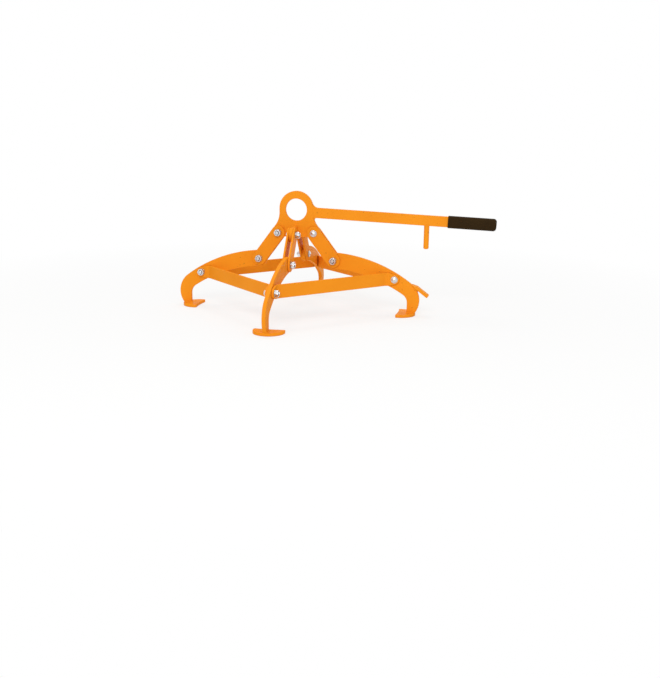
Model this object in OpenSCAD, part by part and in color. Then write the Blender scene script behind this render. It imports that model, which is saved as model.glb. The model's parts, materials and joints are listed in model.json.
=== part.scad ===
// Four-claw drum lifter. A lifting plate hangs from its eye and carries four pairs of
// links. Each pair pulls on the inner end of a claw arm, and the arms turn on bolts in a
// square frame of flat bars, so the pull on the eye closes the claws under the load's rim.
// The origin is the centre of the eye, +Z is up, +X runs along the lever, +Y to the rear.

/* [Lifting plate] */
// Radius of the eye
eye_r = 30; // [26:1:34]
// Outer radius of the ring around the eye
ring_r = 47; // [44:1:50]
// Height of the ring's centre above the eye's
ring_rise = 3.5; // [0:0.5:5]
// Thickness of the lifting plate, its lugs and the claw arms
plate_t = 10; // [8:1:12]
// Radius of the hollow flank between the ring and each lug
flank_r = 60; // [40:1:80]
// Depth of the plate's lower edge below the eye
plate_drop = 74; // [70:1:80]

/* [Linkage] */
// Distance of the link bolts in the lugs from the vertical axis
lug_u = 50; // [46:1:54]
// Depth of the link bolts in the lugs below the eye
lug_drop = 63; // [60:1:66]
// Distance of the bolts between links and arms from the vertical axis
toggle_u = 105; // [100:1:110]
// Depth of the bolts between links and arms below the eye
toggle_drop = 136; // [132:1:140]
// Distance of the arms' pivot bolts from the vertical axis
pivot_u = 275; // [270:1:280]
// Depth of the arms' pivot bolts below the eye
pivot_drop = 181; // [176:1:184]
// Width of a link plate
link_w = 38; // [32:1:42]
// Thickness of a link plate
link_t = 5; // [4:0.5:8]
// Radial play of the arm's bolt in the link's lower hole
toggle_play = 3.7; // [0.5:0.1:4]

/* [Claw arms] */
// Radius of the arm's back
back_r = 391; // [380:1:400]
// Radius of the arm's belly
belly_r = 405; // [395:1:415]
// Radius of the arm's rounded inner end
heel_r = 21.7; // [20:0.1:23]
// Outer radius of the hook
hook_r = 58; // [52:1:64]
// Inner radius of the hook
throat_r = 26; // [22:1:28]
// Depth of the feet's upper face below the eye
seat_drop = 271; // [268:1:276]

/* [Feet] */
// Radius of the wall that the feet close on
load_r = 286; // [280:1:290]
// Distance of a foot's outermost point from the vertical axis
foot_u = 333; // [326:1:336]
// Half the width of a foot, from the arm to its tip
foot_half_w = 41.5; // [36:0.5:46]
// Thickness of a foot
foot_t = 8; // [6:0.5:10]

/* [Frame] */
// Height of a frame bar
bar_h = 35; // [30:1:38]
// Thickness of a frame bar
bar_t = 6; // [4:0.5:8]
// Distance from the vertical axis at which a bar's end begins to bend
bend_u = 257; // [250:1:258]
// Bend radius at the middle of a bar's thickness
bend_r = 15; // [12:1:20]
// Radius of a bar's rounded end
bar_end_r = 13; // [12:0.5:17]

/* [Lever] */
// Height of the lever bar
lever_h = 27.5; // [24:0.5:30]
// Depth of the lever's centre line below the eye, produced to the vertical axis
lever_drop = 5.2; // [4:0.1:9]
// Fall of the lever away from the plate, in degrees
lever_fall = 2.4; // [0:0.1:4]
// Distance of the grip's mouth from the vertical axis
grip_u = 412; // [390:1:430]
// Length of the grip
grip_len = 126; // [110:1:140]
// Height of the grip
grip_h = 32.5; // [31:0.5:36]
// Thickness of the grip
grip_t = 17; // [15:0.5:20]
// Distance of the stop pin from the vertical axis
pin_u = 356; // [350:0.5:362]
// Depth of the stop pin's lower end below the eye
pin_drop = 96; // [85:1:96]
// Radius of the stop pin
pin_r = 7; // [6:0.5:8]

/* [Stop tab] */
// Width of the tab that the stop pin meets
tab_w = 20; // [12:1:24]
// Thickness of the tab
tab_t = 8; // [5:0.5:9]
// Length of the tab, from the end of its tapered root
tab_len = 39.5; // [36:0.5:42]
// Fall of the tab away from the arm, in degrees
tab_fall = 36.7; // [33:0.1:40]

/* [Fasteners] */
// Radius of the bolts
bolt_r = 5; // [4:0.5:6]
// Radius of the bolts' domed heads
head_r = 7.5; // [7:0.5:9]
// Height of the domed heads
head_h = 4.5; // [3:0.5:6]
// Width across flats of the nuts
hex_w = 17; // [15:1:19]
// Height of the nuts
nut_h = 8.4; // [8:0.2:10]
// Outer radius of the washers
washer_r = 9.3; // [9.2:0.1:11]
// Thickness of the washers
washer_t = 2; // [1.5:0.5:3]
// Outer radius of the bushes that the arms turn on
bush_r = 8; // [7:0.5:9]

/* [Hidden] */
$fn = 96;

// Gap between pieces that move past each other, and radial play of a bolt in its hole
side_gap = 0.3;
run_play = 0.05;
hole_r = bolt_r + run_play;
// A straight edge that runs into a round one crosses it by a hair, at one degree
graze = cos(1);
bolt_tail = 2.8;
tip_chamfer = 1;

// Each spoke: its name, its bearing, and how far the bolt between links and arm is turned round
SPOKES = [["right", 0, 180], ["rear", 90, 0], ["left", 180, 0], ["front", 270, 0]];
// Each frame bar: its name and the bearing of the first spoke that it joins
BARS = [["rear_right", 0], ["rear_left", 90], ["front_left", 180], ["front_right", 270]];
// The two link plates of a pair, as the side that each is on
SIDES = [["1", -1], ["2", 1]];

// Points in a spoke's own plane: distance from the vertical axis, height
lug_bolt = [lug_u, -lug_drop];
toggle_bolt = [toggle_u, -toggle_drop];
pivot_bolt = [pivot_u, -pivot_drop];

// Each flank of the lifting plate is part of a circle that lies beside the ring's straight side
// and meets the line of the link's outer edge
link_out = bearing(heading(lug_bolt, toggle_bolt) + 90);
link_edge = lug_bolt + graze * link_w / 2 * link_out;
flank_u = ring_r + flank_r;
flank_c = [flank_u, (link_edge * link_out + flank_r - flank_u * link_out[0]) / link_out[1]];

function bearing(a) = [cos(a), sin(a)];
function heading(p, q) = atan2(q[1] - p[1], q[0] - p[0]);

// The arm's four arcs. Back and belly start square to the heel and lean in by a few degrees;
// the hook's arcs follow on from them without a corner.
back_lean = 3;
belly_lean = 3.7;
hook_start = 53.25;
throat_start = 57;
back_c = toggle_bolt - (back_r - heel_r) * [sin(back_lean), cos(back_lean)];
belly_c = toggle_bolt - (belly_r + heel_r) * [sin(belly_lean), cos(belly_lean)];
hook_c = back_c + (back_r - hook_r) * bearing(hook_start);
throat_c = belly_c + (belly_r - throat_r) * bearing(throat_start);
hook_from = back_c + back_r * bearing(hook_start);
throat_from = belly_c + belly_r * bearing(throat_start);

// Middle of a link plate or a bar's end, measured from the spoke's plane
link_y = plate_t / 2 + side_gap + link_t / 2;
bar_y = plate_t / 2 + side_gap + bar_t / 2;
// Outer face of the washers on the links, and on the bars
link_stack = link_y + link_t / 2 + side_gap + washer_t;
bar_stack = bar_y + bar_t / 2 + washer_t;

lever_end = 10;
pocket_play = 0.05;
weld_gap = 0.05;
orange = [0.95, 0.57, 0.15];
zinc = [0.80, 0.81, 0.82];
steel = [0.62, 0.62, 0.60];
dark_brown = [0.17, 0.12, 0.08];

// Shared forms

// Turns an outline upright, across the spoke's plane and centred on a distance from it
module upright(t, y = 0) {
    translate([0, y + t / 2, 0]) rotate([90, 0, 0]) linear_extrude(t) children();
}

module spoke(s) {
    rotate([0, 0, s[1]]) children();
}

module disc(p, r) {
    translate(p) circle(r);
}

// Two discs and the straight flanks between them
module strap(p, pr, q, qr) {
    a = heading(p, q);
    t = acos((pr - qr) / norm(q - p));
    disc(p, pr);
    disc(q, qr);
    polygon([p + graze * pr * bearing(a - t), q + graze * qr * bearing(a - t),
             q + graze * qr * bearing(a + t), p + graze * pr * bearing(a + t)]);
}

// Stands a fastener on a bolt's axis, with its +Z towards the nut
module on_bolt(s, p, turn = 0) {
    spoke(s) translate([p[0], 0, p[1]]) rotate([0, 0, turn]) rotate([-90, 0, 0]) children();
}

// Hexagon with its outer corners turned off by a 30 degree cone
module hexagon(h) {
    flat_r = hex_w / 2;
    face_r = flat_r - 0.2;
    intersection() {
        cylinder(h = h, r = flat_r / cos(30), $fn = 6);
        cylinder(h = h, r1 = face_r + h / tan(30), r2 = face_r);
    }
}

// Low dome on a short straight rim
module domed_head() {
    rim = 0.8;
    crown = head_h - rim;
    crown_r = (pow(head_r, 2) + pow(crown, 2)) / (2 * crown);
    rotate_extrude() intersection() {
        square([head_r, head_h]);
        disc([0, head_h - crown_r], crown_r);
    }
}

module bolt(reach) {
    translate([0, 0, -reach]) rotate([180, 0, 0]) domed_head();
    translate([0, 0, -reach]) cylinder(h = 2 * reach + nut_h + bolt_tail - tip_chamfer, r = bolt_r);
    translate([0, 0, reach + nut_h + bolt_tail - tip_chamfer])
        cylinder(h = tip_chamfer, r1 = bolt_r, r2 = bolt_r - tip_chamfer);
}

module nut(reach) {
    translate([0, 0, reach]) difference() {
        hexagon(nut_h);
        translate([0, 0, -1]) cylinder(h = nut_h + 2, r = hole_r);
    }
}

module washers(reach) {
    for (z = [-reach, reach - washer_t]) {
        translate([0, 0, z]) difference() {
            cylinder(h = washer_t, r = washer_r);
            translate([0, 0, -1]) cylinder(h = washer_t + 2, r = hole_r);
        }
    }
}

// Lifting plate, lugs and lever

// Outline of the ring and the straight sides that drop from its widest points, grown by a gap
module ring_outline(gap = 0) {
    r = ring_r + gap;
    side = r * graze;
    disc([0, ring_rise], r);
    translate([-side, -plate_drop]) square([2 * side, plate_drop + ring_rise]);
}

// Outline of the plate: a hollow flank carries each side out to its lug
module plate_outline(gap = 0) {
    flank_bite = 0.02;
    half = [lug_bolt, link_edge + gap * link_out, flank_c - (flank_r - gap) * link_out, flank_c];
    difference() {
        union() {
            ring_outline(gap);
            polygon(concat(half, [for (i = [3:-1:0]) [-half[i][0], half[i][1]]]));
            for (m = [-1, 1]) disc([m * lug_u, -lug_drop], link_w / 2 + gap);
        }
        for (m = [-1, 1]) disc([m * flank_c[0], flank_c[1]], flank_r + flank_bite - gap);
    }
}

module lifting_plate() {
    color(orange) upright(plate_t) difference() {
        plate_outline();
        for (m = [-1, 1]) disc([m * lug_u, -lug_drop], hole_r);
        circle(eye_r);
    }
}

// A lug stands square on the plate's face and carries one pair of links
module lug(s) {
    color(orange) spoke(s) upright(plate_t) difference() {
        union() {
            disc(lug_bolt, link_w / 2);
            translate([plate_t / 2, -lug_drop - graze * link_w / 2])
                square([lug_u - plate_t / 2, graze * link_w]);
        }
        disc(lug_bolt, hole_r);
    }
}

// Lays an outline along the lever's centre line, with its zero on the vertical axis
module along_lever(t) {
    translate([0, 0, -lever_drop]) rotate([0, lever_fall, 0]) upright(t) children();
}

// The bar flares into the ring, more above than below. Each fillet disc bites a hair into the
// edges that it meets.
module lever_root() {
    top_r = 18;
    low_r = 6;
    bite = 0.02;
    rise = [sin(lever_fall), cos(lever_fall)];
    run = [cos(lever_fall), -sin(lever_fall)];
    ring_c = [0, ring_rise];
    top_n = lever_h / 2 + top_r - (lever_drop + ring_rise) * cos(lever_fall);
    top_c = ring_c + top_n * rise + sqrt(pow(ring_r + top_r, 2) - pow(top_n, 2)) * run;
    from_axis = flank_c + [0, lever_drop];
    low_n = -lever_h / 2 - low_r;
    low_s = from_axis * run - sqrt(pow(flank_r - low_r, 2) - pow(low_n - from_axis * rise, 2));
    low_c = [0, -lever_drop] + low_s * run + low_n * rise;
    into_plate = low_c + 2 * low_r * bearing(heading(flank_c, low_c));
    difference() {
        polygon([ring_c, top_c - (top_r + lever_h / 2) * rise, top_c]);
        disc(top_c, top_r + bite);
    }
    difference() {
        polygon([low_c, low_c + (low_r + lever_h / 2) * rise, [0, -lever_drop], into_plate]);
        disc(low_c, low_r + bite);
    }
}

// The bar is cut to the plate's outline at one end and runs on inside the grip at the other
module lever_bar() {
    tip = grip_u + grip_len - lever_end;
    round_r = 5;
    color(orange) upright(plate_t) difference() {
        union() {
            translate([0, -lever_drop]) rotate(-lever_fall) {
                translate([ring_r / 2, -lever_h / 2]) square([tip - round_r - ring_r / 2, lever_h]);
                translate([tip - 2 * round_r, round_r - lever_h / 2])
                    square([2 * round_r, lever_h - 2 * round_r]);
                for (m = [-1, 1]) disc([tip - round_r, m * (lever_h / 2 - round_r)], round_r);
            }
            lever_root();
        }
        plate_outline(weld_gap);
    }
}

// Side view of the grip: a flat mouth, and an end that swells out between rounded corners
module grip_side() {
    corner_r = 6;
    end_r = 40;
    tip = grip_u + grip_len;
    intersection() {
        union() {
            translate([grip_u, -grip_h / 2]) square([grip_len - corner_r, grip_h]);
            translate([tip - 2 * corner_r, corner_r - grip_h / 2])
                square([2 * corner_r, grip_h - 2 * corner_r]);
            for (m = [-1, 1]) disc([tip - corner_r, m * (grip_h / 2 - corner_r)], corner_r);
        }
        union() {
            disc([tip - end_r, 0], end_r);
            translate([grip_u, -grip_h]) square([grip_len - end_r, 2 * grip_h]);
        }
    }
}

// Cross-section of the grip, flat on its cheeks and round on top and below
module grip_section() {
    strap([grip_h / 2 - grip_t / 2, 0], grip_t / 2, [grip_t / 2 - grip_h / 2, 0], grip_t / 2);
}

module hand_grip() {
    color(dark_brown) difference() {
        intersection() {
            along_lever(grip_t) grip_side();
            translate([0, 0, -lever_drop]) rotate([0, lever_fall, 0])
                translate([grip_u, 0, 0]) rotate([0, 90, 0]) linear_extrude(grip_len) grip_section();
        }
        along_lever(plate_t + 2 * pocket_play)
            translate([grip_u - 1, -lever_h / 2 - pocket_play])
                square([grip_len - lever_end + 1 + pocket_play, lever_h + 2 * pocket_play]);
    }
}

// The pin hangs upright from the lever's lower edge and ends in a rounded nose
module stop_pin() {
    nose = 4;
    top = -lever_drop - pin_u * sin(lever_fall);
    color(orange) difference() {
        union() {
            translate([pin_u, 0, nose - pin_drop]) cylinder(h = top + pin_drop - nose, r = pin_r);
            translate([pin_u, 0, nose - pin_drop]) rotate_extrude() intersection() {
                translate([0, -nose]) square([pin_r, nose]);
                union() {
                    translate([0, -nose]) square([pin_r - nose, nose]);
                    disc([pin_r - nose, 0], nose);
                }
            }
        }
        along_lever(2 * plate_t) translate([0, -lever_h / 2]) square([2 * pin_u, 2 * lever_h]);
    }
}

// Claw arms and feet

// The part of the arm from its heel to the hook, between the back and the belly
module arm_beam() {
    reach = back_r / cos((90 - hook_start) / 2) + 1;
    a = heading(back_c, toggle_bolt);
    intersection() {
        difference() {
            disc(back_c, back_r);
            disc(belly_c, belly_r);
        }
        polygon([back_c, back_c + reach * bearing(a), back_c + reach * bearing((a + hook_start) / 2),
                 hook_from, throat_from]);
    }
    disc(toggle_bolt, heel_r);
}

// The part that turns down past the rim and stands on the foot
module arm_hook() {
    right = hook_c[0] + hook_r + 1;
    intersection() {
        difference() {
            disc(hook_c, hook_r);
            disc(throat_c, throat_r);
        }
        polygon([throat_from, hook_from, [right, hook_from[1]], [right, -seat_drop],
                 [throat_c[0] + throat_r, -seat_drop], throat_c + [throat_r, 0], throat_c]);
    }
}

module claw_arm(s) {
    color(orange) spoke(s) upright(plate_t) difference() {
        union() {
            arm_beam();
            arm_hook();
        }
        disc(toggle_bolt, hole_r);
        disc(pivot_bolt, bush_r + run_play);
    }
}

// A half-moon, hollowed on its inner side to the wall of the load, with rounded tips
module foot(s) {
    tip_r = 4;
    lap = 0.03;
    moon_u = foot_u - foot_half_w;
    inset = foot_half_w - tip_r;
    tip_u = (pow(load_r + tip_r, 2) - pow(inset, 2) + pow(moon_u, 2)) / (2 * moon_u);
    tip_y = sqrt(pow(load_r + tip_r, 2) - pow(tip_u, 2)) + lap;
    color(orange) spoke(s) translate([0, 0, -seat_drop - foot_t]) linear_extrude(foot_t) difference() {
        union() {
            intersection() {
                disc([moon_u, 0], foot_half_w);
                translate([tip_u, -2 * foot_half_w]) square(4 * foot_half_w);
            }
            translate([tip_u - 2 * tip_r, -tip_y]) square([2 * tip_r + 1, 2 * tip_y]);
            for (m = [-1, 1]) disc([tip_u, m * tip_y], tip_r);
        }
        circle(load_r);
    }
}

// The tab lies on the right arm's back, with a tapered root, and is cut to the hook's curve
module stop_tab() {
    root_len = 17.7;
    stand_off = 5.2;
    root_sunk = 1;
    run = [cos(tab_fall), -sin(tab_fall)];
    rise = [sin(tab_fall), cos(tab_fall)];
    near = hook_from + root_len * run + stand_off * rise;
    far = near + tab_len * run;
    color(orange) difference() {
        upright(tab_w) polygon([hook_from - root_sunk * rise, near - tab_t * rise,
                                far - tab_t * rise, far, near]);
        upright(tab_w + 2) {
            disc(hook_c, hook_r + weld_gap);
            arm_beam();
        }
    }
}

// Links

module link_plate(s, k) {
    color(orange) spoke(s) upright(link_t, k[1] * link_y) difference() {
        strap(lug_bolt, link_w / 2, toggle_bolt, link_w / 2);
        disc(lug_bolt, hole_r);
        disc(toggle_bolt, bolt_r + toggle_play);
    }
}

// Frame

// An eighth of a turn of the bar, seen from above
module bar_bend(centre, from) {
    far_r = 2 * bend_r;
    translate(centre) intersection() {
        difference() {
            circle(bend_r + bar_t / 2);
            circle(bend_r - bar_t / 2);
        }
        polygon([[0, 0], far_r * bearing(from), far_r * bearing(from + 22.5),
                 far_r * bearing(from + 45)]);
    }
}

// A bar from above: its ends lie flat beside two arms, and its middle runs across between
// them. The straight lengths run a hair into the bends.
module bar_plan() {
    lap = bend_r * tan(2);
    end_run = pivot_u + bar_h / 2 - bend_u + lap;
    bend_y = bar_y + bend_r;
    mid = [bend_u - bend_r * sin(45), bend_y - bend_r * cos(45)];
    mid_run = (mid[0] - mid[1]) * sqrt(2);
    translate([bend_u - lap, bar_y - bar_t / 2]) square([end_run, bar_t]);
    bar_bend([bend_u, bend_y], -135);
    translate(mid) rotate(135) translate([-lap, -bar_t / 2]) square([mid_run + 2 * lap, bar_t]);
    bar_bend([bend_y, bend_u], 180);
    translate([bar_y - bar_t / 2, bend_u - lap]) square([bar_t, end_run]);
}

// What is cut from a bar's end: the bolt's hole, and the corners that leave it tapered and round
module bar_end_cut() {
    upright(2 * bar_t, bar_y) {
        disc(pivot_bolt, hole_r);
        difference() {
            translate([bend_u, -pivot_drop - bar_h]) square(2 * bar_h);
            strap([bend_u, -pivot_drop], bar_h / 2 / graze, pivot_bolt, bar_end_r);
        }
    }
}

module frame_bar(b) {
    color(orange) rotate([0, 0, b[1]]) difference() {
        translate([0, 0, -pivot_drop - bar_h / 2]) linear_extrude(bar_h) bar_plan();
        bar_end_cut();
        mirror([1, -1, 0]) bar_end_cut();
    }
}

// Fasteners

module top_bolts() {
    color(zinc) for (s = SPOKES) on_bolt(s, lug_bolt) bolt(link_stack);
}

module top_nuts() {
    color(zinc) for (s = SPOKES) on_bolt(s, lug_bolt) nut(link_stack);
}

module top_washers() {
    color(zinc) for (s = SPOKES) on_bolt(s, lug_bolt) washers(link_stack);
}

module pivot_bolts() {
    color(zinc) for (s = SPOKES) on_bolt(s, pivot_bolt) bolt(bar_stack);
}

module pivot_nuts() {
    color(zinc) for (s = SPOKES) on_bolt(s, pivot_bolt) nut(bar_stack);
}

module pivot_washers() {
    color(zinc) for (s = SPOKES) on_bolt(s, pivot_bolt) washers(bar_stack);
}

// The bushes hold the two bars of a corner apart, and the arm turns on them
module pivot_bushes() {
    length = plate_t + 2 * side_gap;
    color(steel) for (s = SPOKES) on_bolt(s, pivot_bolt) difference() {
        cylinder(h = length, r = bush_r, center = true);
        cylinder(h = length + 2, r = hole_r, center = true);
    }
}

module toggle_bolt_of(s) {
    color(zinc) on_bolt(s, toggle_bolt, s[2]) bolt(link_stack);
}

module toggle_nut_of(s) {
    color(zinc) on_bolt(s, toggle_bolt, s[2]) nut(link_stack);
}

module toggle_washers_of(s) {
    color(zinc) on_bolt(s, toggle_bolt, s[2]) washers(link_stack);
}

lifting_plate();
lug(SPOKES[3]);  // lug_front
lug(SPOKES[1]);  // lug_rear
lever_bar();
hand_grip();
stop_pin();
stop_tab();
top_bolts();
top_nuts();
top_washers();
pivot_bolts();
pivot_nuts();
pivot_washers();
pivot_bushes();
for (b = BARS) {
    frame_bar(b);
}
for (s = SPOKES) {
    claw_arm(s);
    foot(s);
    toggle_bolt_of(s);
    toggle_nut_of(s);
    toggle_washers_of(s);
    for (k = SIDES) {
        link_plate(s, k);
    }
}
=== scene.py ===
# %% [markdown]
# # Dressing a four-claw lifter
# The solids of the lifter arrive finished: a lifting plate with its eye and lever, four pairs of
# links, four claw arms on half-moon feet, a square frame of flat bars, and the bolts that join
# them. This lesson gives them the finish that a workshop gives: eased edges, weld beads, threads,
# sprayed enamel, zinc and rubber. Every new piece rides on the body that carries it, so the claws
# still open. Small lengths are written in millimetres times MM, the camera, lamps and floor in
# metres, and angles in degrees.

# %% Load the solids
import json
import math

import bmesh
import bpy
from mathutils import Matrix, Vector


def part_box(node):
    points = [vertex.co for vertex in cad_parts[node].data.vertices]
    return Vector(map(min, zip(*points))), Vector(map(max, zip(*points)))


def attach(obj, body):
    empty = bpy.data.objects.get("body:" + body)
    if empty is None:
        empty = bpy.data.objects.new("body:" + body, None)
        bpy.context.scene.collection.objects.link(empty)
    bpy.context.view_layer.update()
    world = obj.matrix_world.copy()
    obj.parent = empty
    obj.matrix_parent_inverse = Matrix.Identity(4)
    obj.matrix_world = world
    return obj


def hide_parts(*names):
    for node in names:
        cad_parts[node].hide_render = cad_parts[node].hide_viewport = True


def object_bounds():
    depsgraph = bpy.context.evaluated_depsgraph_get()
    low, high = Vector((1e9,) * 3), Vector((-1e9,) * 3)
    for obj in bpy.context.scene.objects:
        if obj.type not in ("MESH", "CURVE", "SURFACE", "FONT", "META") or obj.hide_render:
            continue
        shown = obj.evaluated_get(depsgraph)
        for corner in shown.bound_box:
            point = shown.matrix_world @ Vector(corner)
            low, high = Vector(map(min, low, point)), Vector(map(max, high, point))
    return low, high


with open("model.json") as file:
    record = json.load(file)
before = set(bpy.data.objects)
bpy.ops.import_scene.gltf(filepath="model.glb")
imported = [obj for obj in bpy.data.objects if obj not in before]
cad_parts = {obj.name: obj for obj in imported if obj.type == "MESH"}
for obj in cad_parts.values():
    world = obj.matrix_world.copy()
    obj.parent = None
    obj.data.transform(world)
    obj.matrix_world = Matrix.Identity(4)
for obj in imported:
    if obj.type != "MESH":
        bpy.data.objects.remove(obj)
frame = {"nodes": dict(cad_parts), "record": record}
cad_low, cad_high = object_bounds()
solids = frame["nodes"]
body_of = {
    node: body
    for body, members in frame["record"]["behaviour"]["bodies"].items()
    for node in members
}
scene = bpy.context.scene
scene.view_settings.view_transform = "Standard"
MM = 0.001
X, Y, Z = Vector((1, 0, 0)), Vector((0, 1, 0)), Vector((0, 0, 1))
print(len(solids), "solids, box", [round(v, 4) for v in (*cad_low, *cad_high)])

# %% [markdown]
# ## The camera
# The lifter was photographed from a little to the right of its front and slightly above. The
# camera's place could be guessed by eye. It is fitted instead, so that with this place, lens and
# shift the bolts land where the photograph has them. The origin is the centre of the lifting eye.

# %% The camera
CAMERA_PLACE = (0.6056, -2.4812, 0.2599)
CAMERA_PITCH, CAMERA_TURN = 14.981, 13.816
CAMERA_LENS = 49.22
CAMERA_SHIFT = (0.0518, 0.0298)
camera_data = bpy.data.cameras.new("camera")
camera_data.lens = CAMERA_LENS
camera_data.shift_x, camera_data.shift_y = CAMERA_SHIFT
camera = bpy.data.objects.new("camera", camera_data)
camera.location = CAMERA_PLACE
camera.rotation_euler = (math.radians(90 - CAMERA_PITCH), 0, math.radians(CAMERA_TURN))
scene.collection.objects.link(camera)
scene.camera = camera
print("camera", CAMERA_PLACE, "lens", CAMERA_LENS)

# %% [markdown]
# ## Helpers for shader nodes and meshes
# A material is a small graph. Building it node by node takes three lines for each node, so one
# helper places a node, sets its options and fills its inputs: a socket is linked, and anything
# else is set as a plain value. Round pieces are built from rings of points that are bridged one to
# the next, so a few more helpers make a ring and join it to others.

# %% Helpers for shader nodes
MIX_A, MIX_B, MIX_RESULT = 6, 7, 2
FULL = (0.0, 1.0)
WHITE = (1, 1, 1, 1)


def place(tree, kind, inputs=None, **options):
    """Add a node to a tree. Each input is another node's output or a plain value."""
    node = tree.nodes.new(kind)
    for name, value in options.items():
        setattr(node, name, value)
    for key, value in (inputs or {}).items():
        if isinstance(value, bpy.types.NodeSocket):
            tree.links.new(value, node.inputs[key])
        else:
            node.inputs[key].default_value = value
    return node


def mix_colours(tree, share, first, second):
    """Blend two colours by a share from 0 to 1."""
    node = place(tree, "ShaderNodeMix", {0: share, MIX_A: first, MIX_B: second}, data_type="RGBA")
    return node.outputs[MIX_RESULT]


def spread(tree, value, start, end):
    """Stretch a value from one range to another, and stop it at the ends."""
    node = place(tree, "ShaderNodeMapRange", {
        "Value": value, "From Min": start[0], "From Max": start[1],
        "To Min": end[0], "To Max": end[1],
    })
    return node.outputs["Result"]


def seen_directly(tree):
    """1 where the eye, a mirror or glass looks, 0 where light only bounces."""
    path = place(tree, "ShaderNodeLightPath")
    first = place(tree, "ShaderNodeMath", {
        0: path.outputs["Is Camera Ray"], 1: path.outputs["Is Glossy Ray"],
    }, operation="MAXIMUM")
    both = place(tree, "ShaderNodeMath", {
        0: first.outputs[0], 1: path.outputs["Is Transmission Ray"],
    }, operation="MAXIMUM")
    return both.outputs[0]


print("shader helpers ready")

# %% Helpers for meshes
ROUND_STEPS = 48


def keep_mesh(bm, name):
    """Store a bmesh as a mesh and let it go."""
    mesh = bpy.data.meshes.new(name)
    bm.to_mesh(mesh)
    bm.free()
    return mesh


def add_circle(bm, radius, seat, steps=ROUND_STEPS):
    """A circle of points and edges in the XY plane of a place of its own."""
    made = bmesh.ops.create_circle(bm, cap_ends=False, segments=steps, radius=radius, matrix=seat)
    return made["verts"]


def edges_of(points):
    """The edges that join a ring's points."""
    return {e for v in points for e in v.link_edges}


def bridge_in_turn(bm, rings, closed=False):
    """Join each ring to the next."""
    following = rings[1:] + (rings[:1] if closed else [])
    for ring, nearby in zip(rings, following):
        bmesh.ops.bridge_loops(bm, edges=list(ring | nearby))


print("rings of", ROUND_STEPS, "points")

# %% [markdown]
# ## Floor and studio light
# The lifter stands on its four feet on a pale floor, which takes its soft shadow. The floor could
# end in a curved backdrop. Here it fades to plain white with distance instead, but only where it
# is seen directly, so the light that it throws back on the lifter stays that of a pale floor. A
# large lamp near the camera lights the plates' faces, and one overhead lights what faces up.

# %% The pale floor
FLOOR_RADIUS, FLOOR_SIDES = 12.0, 96
FLOOR_COLOUR = (0.88, 0.88, 0.87, 1)
FADE_RANGE, FADE_SHARES = (0.3, 1.5), (0.62, 1.0)
floor_finish = bpy.data.materials.new("pale_floor")
floor_finish.use_nodes = True
tree = floor_finish.node_tree
tree.nodes.clear()
spot = place(tree, "ShaderNodeTexCoord")
away = place(tree, "ShaderNodeVectorMath", {0: spot.outputs["Object"]}, operation="LENGTH")
fade = spread(tree, away.outputs["Value"], FADE_RANGE, FADE_SHARES)
share = place(tree, "ShaderNodeMath", {0: fade, 1: seen_directly(tree)}, operation="MULTIPLY")
matt = place(tree, "ShaderNodeBsdfDiffuse", {"Color": FLOOR_COLOUR})
white = place(tree, "ShaderNodeEmission", {"Color": WHITE, "Strength": 1.0})
blend = place(tree, "ShaderNodeMixShader", {
    0: share.outputs[0], 1: matt.outputs[0], 2: white.outputs[0],
})
place(tree, "ShaderNodeOutputMaterial", {"Surface": blend.outputs[0]})

bm = bmesh.new()
bmesh.ops.create_circle(bm, cap_ends=True, segments=FLOOR_SIDES, radius=FLOOR_RADIUS)
bmesh.ops.translate(bm, verts=bm.verts, vec=(0, 0, cad_low.z))
floor_mesh = keep_mesh(bm, "floor")
floor_mesh.materials.append(floor_finish)
floor = bpy.data.objects.new("floor", floor_mesh)
scene.collection.objects.link(floor)
print("floor at", round(cad_low.z, 4))

# %% The studio light
ROOM_LEVEL = 0.64
LAMPS_AIM = Vector((0, 0, -0.15))
world = bpy.data.worlds.new("white_room")
scene.world = world
world.use_nodes = True
tree = world.node_tree
tree.nodes.clear()
level = spread(tree, seen_directly(tree), FULL, (ROOM_LEVEL, 1.0))
sky = place(tree, "ShaderNodeBackground", {"Color": WHITE, "Strength": level})
place(tree, "ShaderNodeOutputWorld", {"Surface": sky.outputs[0]})


def soft_lamp(name, location, size, power):
    """A square soft box that faces the middle of the lifter."""
    lamp = bpy.data.lights.new(name, "AREA")
    lamp.size = size
    lamp.energy = power
    holder = bpy.data.objects.new(name, lamp)
    holder.location = location
    aim = LAMPS_AIM - Vector(location)
    holder.rotation_euler = aim.to_track_quat("-Z", "Y").to_euler()
    scene.collection.objects.link(holder)


soft_lamp("key_lamp", location=(0.45, -3.0, 1.7), size=1.2, power=40)
soft_lamp("top_lamp", location=(-0.2, 0.5, 3.0), size=1.8, power=30)
print("room level", ROOM_LEVEL, "and two soft lamps")

# %% [markdown]
# ## Effects that several finishes share
# Enamel, zinc and rubber all have a fine skin and a slow change of tone, and all are rubbed along
# their edges; on the enamel the darker edge tone is partly painted shade. Enamel and zinc also get
# painted shade in the corners between pieces. Each effect is made once, as a node group with named
# sockets. The edge group compares the true normal with one that is rounded over a small radius:
# they part only near an edge, so the mask follows every edge without any painting. The corner group
# looks how much of the open space a point can see, and its hidden share is painted shade.

# %% A fine skin
CLOUD_RANGE = (0.32, 0.68)


def start_group(name, inputs, outputs):
    """Open a node group with number sockets, and return it with its two end nodes."""
    group = bpy.data.node_groups.new(name, "ShaderNodeTree")
    for socket, value in inputs.items():
        made = group.interface.new_socket(socket, in_out="INPUT", socket_type="NodeSocketFloat")
        made.default_value = value
    for socket in outputs:
        group.interface.new_socket(socket, in_out="OUTPUT", socket_type="NodeSocketFloat")
    return group, group.nodes.new("NodeGroupInput"), group.nodes.new("NodeGroupOutput")


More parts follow.
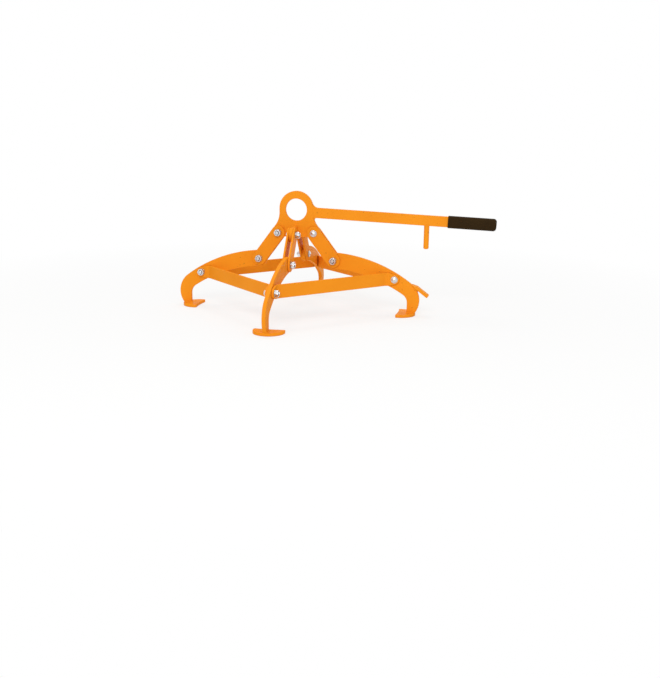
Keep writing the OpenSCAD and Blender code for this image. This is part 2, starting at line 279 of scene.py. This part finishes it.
skin, given, result = start_group(
    "fine_skin", {"Grain Scale": 500.0, "Cloud Scale": 8.0}, ["Grain", "Cloud"])
where = place(skin, "ShaderNodeTexCoord").outputs["Object"]
grain = place(skin, "ShaderNodeTexNoise", {
    "Vector": where, "Scale": given.outputs["Grain Scale"], "Detail": 2.0, "Roughness": 0.5,
})
cloud = place(skin, "ShaderNodeTexNoise", {
    "Vector": where, "Scale": given.outputs["Cloud Scale"], "Detail": 3.0, "Roughness": 0.55,
})
skin.links.new(grain.outputs[0], result.inputs["Grain"])
skin.links.new(spread(skin, cloud.outputs[0], CLOUD_RANGE, FULL), result.inputs["Cloud"])
print("group", skin.name)

# %% Rubbed edges, and painted edge shade on the enamel
EDGE_RANGE, PATCH_RANGE = (0.99, 0.80), (0.42, 0.62)
MASK_SAMPLES = 8
# An edge mask for wear, which on the enamel also carries painted edge shade.
wear_shade_group, given, result = start_group(
    "edge_wear_and_shade", {"Width": 1 * MM, "Patch Scale": 60.0}, ["Rub"])
rounded = place(wear_shade_group, "ShaderNodeBevel", {"Radius": given.outputs["Width"]}, samples=MASK_SAMPLES)
true_normal = place(wear_shade_group, "ShaderNodeNewGeometry").outputs["Normal"]
agree = place(wear_shade_group, "ShaderNodeVectorMath", {
    0: rounded.outputs[0], 1: true_normal,
}, operation="DOT_PRODUCT").outputs["Value"]
near_edge = spread(wear_shade_group, agree, EDGE_RANGE, FULL)
where = place(wear_shade_group, "ShaderNodeTexCoord").outputs["Object"]
patches = place(wear_shade_group, "ShaderNodeTexNoise", {
    "Vector": where, "Scale": given.outputs["Patch Scale"], "Detail": 4.0, "Roughness": 0.6,
})
worn = spread(wear_shade_group, patches.outputs[0], PATCH_RANGE, FULL)
masked = place(wear_shade_group, "ShaderNodeMath", {0: near_edge, 1: worn}, operation="MULTIPLY")
wear_shade_group.links.new(masked.outputs[0], result.inputs["Rub"])
print("group", wear_shade_group.name)

# %% Painted shade in the corners
OPEN_RANGE = (0.75, 0.25)
# Painted shade: the share of a point hidden from open space, which the finishes darken.
shade_group, given, result = start_group("painted_corner_shade", {"Reach": 4 * MM}, ["Grime"])
open_space = place(shade_group, "ShaderNodeAmbientOcclusion", {
    "Distance": given.outputs["Reach"],
}, samples=MASK_SAMPLES)
hidden = spread(shade_group, open_space.outputs["AO"], OPEN_RANGE, FULL)
shade_group.links.new(hidden, result.inputs["Grime"])
print("group", shade_group.name)

# %% [markdown]
# ## Orange enamel
# The plates are sprayed with a warm orange enamel, even and with little shine, with the faint
# dimples that spraying leaves and a deeper tone along cut edges, which is partly thinner paint and
# partly painted edge shade. The corners between pieces are darkened as painted shade. It could be
# one colour under a clear coat. Two close oranges that drift into each other, a roughness that
# drifts with them, a very low bump and a few dark scuffs keep large flat plates from looking like
# plastic. The refractive index is set low, because a used film mirrors little of the room at a
# slant.

# %% Helpers for finishes
def start_finish(name):
    """A material with only its surface shader and output."""
    material = bpy.data.materials.new(name)
    material.use_nodes = True
    tree = material.node_tree
    tree.nodes.clear()
    shader = place(tree, "ShaderNodeBsdfPrincipled")
    place(tree, "ShaderNodeOutputMaterial", {"Surface": shader.outputs[0]})
    return material, tree, shader


def use_effect(tree, group, **levels):
    """Place a shared effect and set its inputs. Grain_Scale sets the input Grain Scale."""
    inputs = {name.replace("_", " "): value for name, value in levels.items()}
    return place(tree, "ShaderNodeGroup", inputs, node_tree=group).outputs


def set_bump(tree, shader, height, strength, depth):
    """Raise the surface a little by a height from 0 to 1."""
    bump = place(tree, "ShaderNodeBump", {
        "Height": height, "Strength": strength, "Distance": depth,
    })
    tree.links.new(bump.outputs[0], shader.inputs["Normal"])


print("finish helpers ready")

# %% Orange enamel
ORANGE = (0.93, 0.322, 0.018, 1)
DEEP_ORANGE = (0.87, 0.286, 0.015, 1)
THIN_AND_SHADED_ORANGE = (0.64, 0.17, 0.006, 1)
DARK_SCUFF_AND_SHADE = (0.16, 0.055, 0.010, 1)
THIN_AND_SHADE_SHARE, CORNER_SHADE_SHARE, SCUFF_SHARE = 0.80, 0.35, 0.50
SCUFF_SCALE, SCUFF_RANGE = 110.0, (0.66, 0.72)
ENAMEL_ROUGH = (0.30, 0.44)
ENAMEL_INDEX = 1.08
enamel, tree, shader = start_finish("orange_enamel")
film = use_effect(tree, skin, Grain_Scale=520, Cloud_Scale=7)
edge = use_effect(tree, wear_shade_group, Width=2.2 * MM, Patch_Scale=45)
corner = use_effect(tree, shade_group, Reach=5 * MM)
tone = mix_colours(tree, film["Cloud"], ORANGE, DEEP_ORANGE)
# The deeper edge tone is partly thinner paint and partly painted edge shade.
tone = mix_colours(tree, spread(tree, edge["Rub"], FULL, (0.0, THIN_AND_SHADE_SHARE)), tone, THIN_AND_SHADED_ORANGE)
# Painted shade: the corners between pieces are darkened. The same brown also marks the scuffs.
tone = mix_colours(tree, spread(tree, corner["Grime"], FULL, (0.0, CORNER_SHADE_SHARE)), tone, DARK_SCUFF_AND_SHADE)
where = place(tree, "ShaderNodeTexCoord").outputs["Object"]
marks = place(tree, "ShaderNodeTexNoise", {
    "Vector": where, "Scale": SCUFF_SCALE, "Detail": 5.0, "Roughness": 0.6,
})
scuff = spread(tree, marks.outputs[0], SCUFF_RANGE, (0.0, SCUFF_SHARE))
tone = mix_colours(tree, scuff, tone, DARK_SCUFF_AND_SHADE)
tree.links.new(tone, shader.inputs["Base Color"])
tree.links.new(spread(tree, film["Cloud"], FULL, ENAMEL_ROUGH), shader.inputs["Roughness"])
shader.inputs["IOR"].default_value = ENAMEL_INDEX
set_bump(tree, shader, film["Grain"], strength=0.20, depth=0.3 * MM)
print("finish", enamel.name)

# %% [markdown]
# ## Zinc, turned steel and rubber
# Bolts, nuts and washers are bright zinc-plated steel: a mirror broken up by a fine crystalline
# skin, dulled in patches and polished along the edges, with painted shade darkening the corners.
# The bushes are plain turned steel. The grip is a dark brown rubber sleeve with a matt, pebbled
# skin that hands have smoothed at the edges. Each could be one even colour, but used metal and
# rubber never are, so each takes its tones from the shared effects.

# %% Bright zinc
BRIGHT_ZINC, DULL_ZINC = (0.80, 0.81, 0.82, 1), (0.58, 0.59, 0.62, 1)
POLISHED_ZINC, PAINTED_SHADE_BLACK = (0.92, 0.92, 0.91, 1), (0.035, 0.032, 0.028, 1)
ZINC_ROUGH = (0.16, 0.34)
zinc, tree, shader = start_finish("bright_zinc")
plating = use_effect(tree, skin, Grain_Scale=1600, Cloud_Scale=140)
edge = use_effect(tree, wear_shade_group, Width=0.8 * MM, Patch_Scale=180)
corner = use_effect(tree, shade_group, Reach=6 * MM)
tone = mix_colours(tree, plating["Cloud"], BRIGHT_ZINC, DULL_ZINC)
tone = mix_colours(tree, edge["Rub"], tone, POLISHED_ZINC)
# Painted shade: the corners next to other pieces turn nearly black.
tone = mix_colours(tree, corner["Grime"], tone, PAINTED_SHADE_BLACK)
tree.links.new(tone, shader.inputs["Base Color"])
tree.links.new(spread(tree, plating["Cloud"], FULL, ZINC_ROUGH), shader.inputs["Roughness"])
shader.inputs["Metallic"].default_value = 1.0
set_bump(tree, shader, plating["Grain"], strength=0.10, depth=0.1 * MM)
print("finish", zinc.name)

# %% Turned steel
STEEL, DARK_STEEL = (0.52, 0.51, 0.49, 1), (0.40, 0.39, 0.37, 1)
LATHE_RANGE, STEEL_ROUGH = (0.3, 0.7), (0.28, 0.46)
turned, tree, shader = start_finish("turned_steel")
surface = use_effect(tree, skin, Grain_Scale=2200, Cloud_Scale=90)
tone = mix_colours(tree, surface["Cloud"], STEEL, DARK_STEEL)
tree.links.new(tone, shader.inputs["Base Color"])
tree.links.new(spread(tree, surface["Grain"], LATHE_RANGE, STEEL_ROUGH), shader.inputs["Roughness"])
shader.inputs["Metallic"].default_value = 1.0
set_bump(tree, shader, surface["Grain"], strength=0.10, depth=0.1 * MM)
print("finish", turned.name)

# %% Dark rubber
RUBBER, BROWN_RUBBER = (0.022, 0.0110, 0.0025, 1), (0.031, 0.016, 0.0042, 1)
RAISED_RUBBER, WORN_RUBBER = (0.048, 0.028, 0.0090, 1), (0.046, 0.028, 0.011, 1)
PEBBLE_RANGE, PEBBLE_SHARE = (0.42, 0.68), 0.5
RUBBER_ROUGH = (0.62, 0.78)
RUBBER_INDEX = 1.15
rubber, tree, shader = start_finish("dark_rubber")
pebble = use_effect(tree, skin, Grain_Scale=850, Cloud_Scale=30)
edge = use_effect(tree, wear_shade_group, Width=2.5 * MM, Patch_Scale=90)
raised = spread(tree, pebble["Grain"], PEBBLE_RANGE, (0.0, PEBBLE_SHARE))
tone = mix_colours(tree, pebble["Cloud"], RUBBER, BROWN_RUBBER)
tone = mix_colours(tree, raised, tone, RAISED_RUBBER)
tone = mix_colours(tree, edge["Rub"], tone, WORN_RUBBER)
tree.links.new(tone, shader.inputs["Base Color"])
tree.links.new(spread(tree, pebble["Cloud"], FULL, RUBBER_ROUGH), shader.inputs["Roughness"])
shader.inputs["IOR"].default_value = RUBBER_INDEX
set_bump(tree, shader, pebble["Grain"], strength=0.7, depth=0.8 * MM)
print("finish", rubber.name)

# %% [markdown]
# ## Finishing a piece
# Each piece ends the same way: its mesh gets a finish as its material, and it rides on the body
# that carries it. Flat plates with rounded edges need care with shading. Plain smooth shading
# would make them look swollen, so a weighted normal lets the large face decide: it stays flat while
# its edge rolls.

# %% Finishing a piece
FLAT_WEIGHT = 50


def finish_piece(bm, name, body, finish, stands_for=(), smooth_flats=True):
    """Turn a bmesh into a finished piece on a body."""
    mesh = keep_mesh(bm, name)
    mesh.shade_smooth()
    mesh.materials.append(finish)
    piece = bpy.data.objects.new(name, mesh)
    scene.collection.objects.link(piece)
    if smooth_flats:
        rolled = piece.modifiers.new("flat_faces", "WEIGHTED_NORMAL")
        rolled.weight = FLAT_WEIGHT
    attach(piece, body)
    if stands_for:
        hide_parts(*stands_for)
    return piece


print("finish_piece ready")

# %% [markdown]
# ## Plates with eased edges
# Every plate is cut from flat stock, and its edges are eased with a file before spraying. The
# solids have knife-sharp edges, which never catch the light. They could be rounded in the solids,
# but an edge this small matters only to the light, so it is made here. A copy of each solid is
# merged into one skin, its flat faces are joined, and every edge that turns by more than 40
# degrees gets a small two-step bevel. The copy then stands for the solid. The pin and the bushes
# are round already, so they keep their own mesh and only take a finish.

# %% Plates with eased edges
SHARP_TURN, FLAT_TURN = math.radians(40), math.radians(0.05)
WELD_DISTANCE = 0.15 * MM
BEVEL_STEPS, ROUND_PROFILE = 2, 0.5
PLATE_EASE = 0.8 * MM
PLATE_KINDS = ("lifting_plate", "lug_", "lever_bar", "arm_", "foot_", "link_", "bar_", "stop_tab")


def ease_edges(node, radius, finish):
    """Copy a solid and round its sharp edges."""
    bm = bmesh.new()
    bm.from_mesh(solids[node].data)
    bmesh.ops.remove_doubles(bm, verts=bm.verts, dist=WELD_DISTANCE)
    bmesh.ops.dissolve_degenerate(bm, edges=bm.edges, dist=WELD_DISTANCE)
    bmesh.ops.dissolve_limit(bm, angle_limit=FLAT_TURN, verts=bm.verts, edges=bm.edges)
    sharp = [e for e in bm.edges if e.is_manifold and e.calc_face_angle() > SHARP_TURN]
    before = bm.calc_volume()
    bmesh.ops.bevel(
        bm, geom=sharp, offset=radius, affect="EDGES", segments=BEVEL_STEPS,
        profile=ROUND_PROFILE, material=-1)
    print(f"{node}: {len(sharp)} edges eased, volume {bm.calc_volume() / before:.4f},",
          sum(not e.is_manifold for e in bm.edges), "open edges")
    finish_piece(bm, "eased_" + node, body_of[node], finish, [node])


for node in sorted(solids):
    if node.startswith(PLATE_KINDS):
        ease_edges(node, PLATE_EASE, enamel)

# %% Solids that keep their shape
for node, finish in (("stop_pin", enamel), ("pivot_bushes", turned)):
    coats = solids[node].data.materials
    coats.clear()
    coats.append(finish)
    print(node, "keeps its shape, with", finish.name)

# %% [markdown]
# ## Weld beads
# The lever, lugs, feet, pin and tab are welded on. A bead is a row of small pools of metal that
# froze one after another. It could be a plain tube, but the pools are what the eye knows a weld
# by. So a ring is carried along the seam, its radius swells and drops with each pool, and
# neighbouring rings are bridged. More than half of the bead lies inside the plates.

# %% Points along a seam
FEWEST_STATIONS = 8
SLACK = 1e-9
CORNER_TURNS = range(0, 91, 30)


def even_points(corners, spacing):
    """Points at an even spacing along a closed line of corners."""
    ends = corners[1:] + corners[:1]
    spans = [(b - a).length for a, b in zip(corners, ends)]
    count = max(FEWEST_STATIONS, round(sum(spans) / spacing))
    step = sum(spans) / count
    points, run = [], 0.0
    for a, b, span in zip(corners, ends, spans):
        while len(points) * step < run + span - SLACK and len(points) < count:
            points.append(a.lerp(b, (len(points) * step - run) / span))
        run += span
    return points


def rounded_seam(centre, first, second, half_first, half_second, corner):
    """Corners of a rectangle with rounded corners, spanned by two directions."""
    seam = []
    for quarter, (a, b) in enumerate(((1, 1), (-1, 1), (-1, -1), (1, -1))):
        middle = centre + first * a * (half_first - corner) + second * b * (half_second - corner)
        for turn in CORNER_TURNS:
            angle = math.radians(90 * quarter + turn)
            seam.append(middle + (first * math.cos(angle) + second * math.sin(angle)) * corner)
    return seam


print("a seam's corner has", len(CORNER_TURNS), "points")

# %% A weld bead
POOL, STATIONS_PER_POOL = 2.4 * MM, 4
POOL_START, POOL_SWELL = 0.90, 0.16
WANDER, WANDER_TURN = 0.04, 0.7
BEAD_STEPS = 10


def add_bead(bm, corners, across, radius):
    """Carry a ring round a closed seam. Across is a direction square to the seam's plane."""
    points = even_points(corners, POOL / STATIONS_PER_POOL)
    rings = []
    for i, point in enumerate(points):
        along = (points[(i + 1) % len(points)] - points[i - 1]).normalized()
        side = along.cross(across).normalized()
        facing = Matrix((across, side, along)).transposed().to_4x4()
        pool = (i % STATIONS_PER_POOL) / STATIONS_PER_POOL
        swollen = radius * (POOL_START + POOL_SWELL * pool + WANDER * math.sin(WANDER_TURN * i))
        ring = add_circle(bm, swollen, Matrix.Translation(point) @ facing, BEAD_STEPS)
        rings.append(edges_of(ring))
    bridge_in_turn(bm, rings, closed=True)
    bmesh.ops.recalc_face_normals(bm, faces=bm.faces)


def finish_bead(bm, name, body):
    """A bead is sprayed with the plates. It has no flat faces."""
    finish_piece(bm, name, body, enamel, smooth_flats=False)


print("bead of", BEAD_STEPS, "sides, a pool every", POOL, "m")

# %% [markdown]
# ## Where the welds run
# Each seam is the edge of one piece on another: round the foot of a lug on the plate, round the
# end of an arm on its foot, round the top of the pin. The lever's seam follows the outline of the
# ring and flank, and the tab's seam follows the hook's outer curve. The sizes repeat those of the
# solids, in metres. A seam could be found by cutting one solid with another, but a short formula
# for each keeps the beads smooth.

# %% Beads on the lifting plate
PLATE_HALF, PLATE_EDGE = 5 * MM, -74 * MM
SEAM_CORNER = 1.5 * MM
LUG_SPREAD, LUG_BEAD = 0.4 * MM, 2.6 * MM
lug_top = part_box("lug_front")[1].z
bm = bmesh.new()
for face in (-1, 1):
    centre = Vector((0, face * PLATE_HALF, (PLATE_EDGE + lug_top) / 2))
    seam = rounded_seam(
        centre, X, Z, PLATE_HALF + LUG_SPREAD, (lug_top - PLATE_EDGE) / 2, SEAM_CORNER)
    add_bead(bm, seam, Y, LUG_BEAD)
print("lug seams", len(bm.faces), "faces")
finish_bead(bm, "weld_lugs", "head")

# %% Bead at the lever's root
RING_R, RING_RISE = 47 * MM, 3.5 * MM
FLANK_R, FLANK_Z = 60 * MM, -7.4 * MM
ROOT_TOP, ROOT_BOTTOM, ROOT_STEPS = 11 * MM, -18 * MM, 12
LEVER_BEAD, LEVER_SUNK = 3.0 * MM, 2.8 * MM


def plate_edge(z):
    """How far the plate's outline is from the vertical axis at a height."""
    over, under = max(0.0, z - RING_RISE), min(0.0, z - FLANK_Z)
    ring = math.sqrt(RING_R ** 2 - over ** 2)
    return ring + FLANK_R - math.sqrt(FLANK_R ** 2 - under ** 2)


heights = [ROOT_TOP + (ROOT_BOTTOM - ROOT_TOP) * i / ROOT_STEPS for i in range(ROOT_STEPS + 1)]
inset = PLATE_HALF - LEVER_SUNK
seam = [Vector((plate_edge(z), -inset, z)) for z in heights]
seam += [Vector((plate_edge(z), inset, z)) for z in reversed(heights)]
bm = bmesh.new()
add_bead(bm, seam, X, LEVER_BEAD)
finish_bead(bm, "weld_lever", "head")
print("lever seam of", len(seam), "corners")

# %% Bead round the pin
PIN_SEAM, PIN_CORNER = 5.2 * MM, 3 * MM
PIN_SUNK, PIN_BEAD = 0.4 * MM, 1.7 * MM
pin_low, pin_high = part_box("stop_pin")
centre = Vector(((pin_low.x + pin_high.x) / 2, 0, pin_high.z - PIN_SUNK))
bm = bmesh.new()
add_bead(bm, rounded_seam(centre, X, Y, PIN_SEAM, PIN_SEAM, PIN_CORNER), Z, PIN_BEAD)
finish_bead(bm, "weld_pin", "head")
print("pin seam at", [round(v, 4) for v in centre])

# %% Beads on the feet
SPOKES = {"right": 0, "rear": 90, "left": 180, "front": 270}
SEAT = -271 * MM
HOOK_INNER, HOOK_OUTER = 310 * MM, 330.5 * MM
FOOT_SPREAD, FOOT_BEAD = 0.2 * MM, 2.2 * MM
centre = Vector(((HOOK_INNER + HOOK_OUTER) / 2, 0, SEAT))
seam = rounded_seam(
    centre, X, Y, (HOOK_OUTER - HOOK_INNER) / 2, PLATE_HALF + FOOT_SPREAD, SEAM_CORNER)
for name, bearing in SPOKES.items():
    bm = bmesh.new()
    add_bead(bm, seam, Z, FOOT_BEAD)
    bmesh.ops.rotate(bm, verts=bm.verts, matrix=Matrix.Rotation(math.radians(bearing), 3, "Z"))
    finish_bead(bm, "weld_foot_" + name, name + "_claw")
    print("foot seam", name)

# %% Bead round the tab
HOOK_CENTRE, HOOK_R = Vector((284.9, 0, -238.0)) * MM, 58 * MM
TAB_FROM, TAB_TO, TAB_STEPS = 47, 26, 8
TAB_BEAD = 1.5 * MM


def on_hook(angle, y):
    """A point on the hook's outer curve."""
    turn = math.radians(angle)
    return HOOK_CENTRE + Vector((HOOK_R * math.cos(turn), y, HOOK_R * math.sin(turn)))


angles = [TAB_FROM + (TAB_TO - TAB_FROM) * i / TAB_STEPS for i in range(TAB_STEPS + 1)]
seam = [on_hook(angle, PLATE_HALF) for angle in angles]
seam += [on_hook(angle, -PLATE_HALF) for angle in reversed(angles)]
outward = (on_hook(angles[TAB_STEPS // 2], 0) - HOOK_CENTRE).normalized()
bm = bmesh.new()
add_bead(bm, seam, outward, TAB_BEAD)
finish_bead(bm, "weld_tab", "right_claw")
print("tab seam over", TAB_FROM - TAB_TO, "degrees of the hook")

# %% [markdown]
# ## Bolts and nuts
# Twelve bolts join the lifter. Each has a smooth, low dome for a head, and a hexagon nut on a
# short threaded end. A plain hexagon prism looks like a toy: on a real nut the corners are turned
# off by a cone, so each flat ends in an arc. A circle is bent out to a hexagon, and each point of
# its rim drops by the cone's slope. Head and shank are one outline that is spun round the axis, as
# on a lathe. The threaded end is one V turned along a screw line, then cut flat.

# %% A ring that becomes a hexagon
FLAT_R, FACE_R = 8.5 * MM, 8.3 * MM
SIXTH_TURN = math.pi / 3
CONE_SLOPE = math.tan(math.radians(30))


def add_ring(bm, radius, z):
    """A plain circle of points round the Z axis, as a set of edges."""
    return edges_of(add_circle(bm, radius, Matrix.Translation((0, 0, z))))


def add_hexagon(bm, z, drop):
    """A circle bent out to a hexagon. Drop tilts its corners along the turning cone."""
    points = add_circle(bm, FLAT_R, Matrix.Translation((0, 0, z)))
    for v in points:
        turn = math.atan2(v.co.y, v.co.x)
        reach = FLAT_R / math.cos(turn % SIXTH_TURN - SIXTH_TURN / 2)
        height = z + drop * (reach - FACE_R) * CONE_SLOPE
        v.co = (reach * math.cos(turn), reach * math.sin(turn), height)
    return edges_of(points)


print("hexagon", FLAT_R * 2, "m across flats")

# %% A threaded end
BOLT_R, PITCH = 5 * MM, 1.5 * MM
THREAD_DEPTH, THREAD_STEPS = 0.61 * PITCH, 24
SPARE_TURNS = 2
TIP_BEVEL = 1 * MM
SAME_POINT = 0.005 * MM


def add_line(bm, outline):
    """A line of points and edges in the XZ plane, ready to be spun."""
    points = [bm.verts.new((r, 0, z)) for r, z in outline]
    return points + [bm.edges.new(pair) for pair in zip(points, points[1:])]


def add_thread(bm, start, end):
    """One V turned along a screw line, cut flat at both ends and closed."""
    root = BOLT_R - THREAD_DEPTH
    low = start - PITCH
    line = add_line(bm, ((root, low), (BOLT_R, low + PITCH / 2), (root, low + PITCH)))
    turns = math.ceil((end - start) / PITCH) + SPARE_TURNS
    bmesh.ops.spin(
        bm, geom=line, axis=Z, cent=(0, 0, 0), dvec=(0, 0, PITCH / THREAD_STEPS),
        angle=math.tau * turns, steps=THREAD_STEPS * turns, use_merge=False)
    bmesh.ops.remove_doubles(bm, verts=bm.verts, dist=SAME_POINT)
    for z, way in ((end, 1), (start, -1)):
        bmesh.ops.bisect_plane(
            bm, geom=bm.verts[:] + bm.edges[:] + bm.faces[:], plane_co=(0, 0, z),
            plane_no=(0, 0, way), clear_outer=True)
    for v in bm.verts:
        limit = BOLT_R - max(0.0, v.co.z - (end - TIP_BEVEL))
        radius = v.co.xy.length
        if radius > limit:
            v.co.xy *= limit / radius
    bmesh.ops.holes_fill(bm, edges=[e for e in bm.edges if e.is_boundary], sides=0)
    bmesh.ops.recalc_face_normals(bm, faces=bm.faces)


print("thread", round(THREAD_DEPTH, 6), "m deep")

# %% A bolt
NUT_H, TAIL = 8.4 * MM, 2.8 * MM
NECK_SUNK, NECK_LAP, NECK_EASE = 2 * MM, 1 * MM, 0.05 * MM
HEAD_R, HEAD_H, HEAD_RIM = 7.5 * MM, 4.5 * MM, 0.8 * MM
CROWN_H, CROWN_STEPS = HEAD_H - HEAD_RIM, 8
CROWN_R = (HEAD_R ** 2 + CROWN_H ** 2) / (2 * CROWN_H)


def make_bolt(reach):
    """A bolt along Z, its head below and its thread above, as a mesh to copy."""
    neck = reach + NUT_H - NECK_SUNK
    bm = bmesh.new()
    add_thread(bm, neck - NECK_LAP, reach + NUT_H + TAIL)
    half_crown = math.asin(HEAD_R / CROWN_R)
    outline = []
    for i in range(CROWN_STEPS + 1):
        angle = half_crown * i / CROWN_STEPS
        drop = CROWN_R * (1 - math.cos(angle))
        outline.append((CROWN_R * math.sin(angle), drop - reach - HEAD_H))
    outline += [(HEAD_R, -reach), (BOLT_R, -reach), (BOLT_R - NECK_EASE, neck), (0, neck)]
    bmesh.ops.spin(
        bm, geom=add_line(bm, outline), axis=Z, cent=(0, 0, 0), angle=math.tau, steps=ROUND_STEPS,
        use_merge=True)
    bmesh.ops.remove_doubles(bm, verts=bm.verts, dist=SAME_POINT)
    bmesh.ops.recalc_face_normals(bm, faces=bm.faces)
    return keep_mesh(bm, "bolt")


print("crown radius", round(CROWN_R, 5), "m")

# %% A nut
SINK = 0.7 * MM


def make_nut(reach):
    """A nut along Z with both faces turned off and a countersunk hole."""
    low, high = reach, reach + NUT_H
    bm = bmesh.new()
    rings = [
        add_ring(bm, FACE_R, low),
        add_hexagon(bm, low, 1.0),
        add_hexagon(bm, high, -1.0),
        add_ring(bm, FACE_R, high),
        add_ring(bm, BOLT_R + SINK, high),
        add_ring(bm, BOLT_R, high - SINK),
        add_ring(bm, BOLT_R, low),
    ]
    bridge_in_turn(bm, rings, closed=True)
    bmesh.ops.recalc_face_normals(bm, faces=bm.faces)
    return keep_mesh(bm, "nut")


LINK_REACH, BAR_REACH = 12.6 * MM, 13.3 * MM
link_bolt, link_nut = make_bolt(LINK_REACH), make_nut(LINK_REACH)
bar_bolt, bar_nut = make_bolt(BAR_REACH), make_nut(BAR_REACH)
print("bolt", len(link_bolt.polygons), "faces, nut", len(link_nut.polygons), "faces")

# %% [markdown]
# ## Setting the bolts
# Each bolt could be built where it sits. It is made once and copied instead, so that all are
# alike: out along its spoke and down to its height. On one arm the lower bolt is put in from the
# other side, as the photograph shows it. Each copy stands for its solid on the same body. The
# washers are copies of their solids with eased edges, like the plates.

# %% Setting the bolts
LUG_BOLT = (50 * MM, -63 * MM)
TOGGLE_BOLT = (105 * MM, -136 * MM)
PIVOT_BOLT = (275 * MM, -181 * MM)
TURNED_ARM = "right"


def set_on_spokes(bm, mesh, names, place_on_spoke, turned_round):
    """Copy a fastener to the same place on several spokes."""
    out, height = place_on_spoke
    for name in names:
        kept = len(bm.verts)
        bm.from_mesh(mesh)
        bm.verts.ensure_lookup_table()
        seat = (Matrix.Rotation(math.radians(SPOKES[name]), 4, "Z")
                @ Matrix.Translation((out, 0, height))
                @ Matrix.Rotation(math.pi if turned_round else 0, 4, "Z")
                @ Matrix.Rotation(math.radians(-90), 4, "X"))
        bmesh.ops.transform(bm, verts=bm.verts[kept:], matrix=seat)


def fasten(node, mesh, names, place_on_spoke, turned_round=False):
    """Replace a solid fastener, or a set of four, by its detailed copy."""
    bm = bmesh.new()
    set_on_spokes(bm, mesh, names, place_on_spoke, turned_round)
    piece = finish_piece(bm, "turned_" + node, body_of[node], zinc, [node])
    print(node, len(piece.data.polygons), "faces")


fasten("top_bolts", link_bolt, SPOKES, LUG_BOLT)
fasten("top_nuts", link_nut, SPOKES, LUG_BOLT)
fasten("pivot_bolts", bar_bolt, SPOKES, PIVOT_BOLT)
fasten("pivot_nuts", bar_nut, SPOKES, PIVOT_BOLT)
for name in SPOKES:
    fasten("toggle_bolt_" + name, link_bolt, [name], TOGGLE_BOLT, name == TURNED_ARM)
    fasten("toggle_nut_" + name, link_nut, [name], TOGGLE_BOLT, name == TURNED_ARM)

# %% Washers
WASHER_EASE = 0.4 * MM
for node in sorted(solids):
    if "washers" in node:
        ease_edges(node, WASHER_EASE, zinc)

# %% [markdown]
# ## The hand grip
# The grip is a rubber sleeve that is pushed over the lever. It is flat on its cheeks, round on top
# and below, and its closed end swells out between soft corners. Its wall at the mouth is too thin
# for a bevel of the solid. So it is laid up from rings, as a moulder would see it: a circle whose
# halves are drawn apart is an oval, and a smaller circle gives the same oval set in evenly. The
# rings run from the bottom of the pocket, out at the mouth, along the sleeve and over the end.

# %% Rings of the grip
LEVER_DROP, LEVER_FALL = 5.2 * MM, 2.4
GRIP_FROM, GRIP_TO = 412 * MM, 537.7 * MM
GRIP_HALF_T, GRIP_HALF_H = 8.5 * MM, 16.25 * MM
POCKET_HALF_T, POCKET_HALF_H, POCKET_END = 5.05 * MM, 13.8 * MM, 528 * MM
MOUTH_R, CORNER_R, SWELL_R = 0.5 * MM, 5 * MM, 40 * MM
LAST_INSET = GRIP_HALF_T - 0.1 * MM
END_INSETS = (6 * MM, 7.2 * MM, LAST_INSET)
ON_MIDDLE = 0.001 * MM


def across_lever(along):
    """A place on the lever's axis, facing along it."""
    return Matrix.Translation((along, 0, 0)) @ Matrix.Rotation(math.radians(90), 4, "Y")


def grip_ring(bm, along, inset):
    """A flat oval across the lever: a circle whose halves are drawn apart."""
    points = add_circle(bm, GRIP_HALF_T - inset, across_lever(along))
    for v in points:
        if abs(v.co.z) > ON_MIDDLE:
            v.co.z += math.copysign(GRIP_HALF_H - GRIP_HALF_T, v.co.z)
    return edges_of(points)


def pocket_ring(bm, along):
    """A circle pressed out to the lever's rectangle."""
    points = add_circle(bm, POCKET_HALF_T, across_lever(along))
    for v in points:
        share = max(abs(v.co.y) / POCKET_HALF_T, abs(v.co.z) / POCKET_HALF_H)
        v.co.y, v.co.z = v.co.y / share, v.co.z / share
    return edges_of(points)


def swell_depth(inset):
    """How far the swollen end has fallen back from its tip at an inset."""
    return SWELL_R - math.sqrt(SWELL_R ** 2 - (GRIP_HALF_H - inset) ** 2)


def end_place(inset):
    """Where the swollen end lies along the lever at an inset."""
    return GRIP_TO - swell_depth(inset) + swell_depth(LAST_INSET)


print("grip from", GRIP_FROM, "to", GRIP_TO, "m along the lever")

# %% The grip
MILLILITRE = (10 * MM) ** 3
END_TURNS = range(0, 91, 15)
bm = bmesh.new()
rings = [pocket_ring(bm, POCKET_END), pocket_ring(bm, GRIP_FROM)]
for turn in CORNER_TURNS:
    angle = math.radians(turn)
    along = GRIP_FROM + MOUTH_R * (1 - math.cos(angle))
    rings.append(grip_ring(bm, along, MOUTH_R * (1 - math.sin(angle))))
for turn in END_TURNS:
    angle = math.radians(turn)
    inset = CORNER_R * (1 - math.cos(angle))
    rings.append(grip_ring(bm, end_place(inset) - CORNER_R * (1 - math.sin(angle)), inset))
for inset in END_INSETS:
    rings.append(grip_ring(bm, end_place(inset), inset))
bridge_in_turn(bm, rings)
bmesh.ops.holes_fill(bm, edges=[e for e in bm.edges if e.is_boundary], sides=0)
bmesh.ops.recalc_face_normals(bm, faces=bm.faces)
dropped = Matrix.Translation((0, 0, -LEVER_DROP))
bmesh.ops.transform(
    bm, verts=bm.verts, matrix=dropped @ Matrix.Rotation(math.radians(LEVER_FALL), 4, "Y"))
open_edges = sum(not e.is_manifold for e in bm.edges)
print("grip of", len(rings), "rings,", open_edges, "open edges, volume",
      round(bm.calc_volume() / MILLILITRE, 2), "ml")
finish_piece(bm, "moulded_hand_grip", "head", rubber, ["hand_grip"])
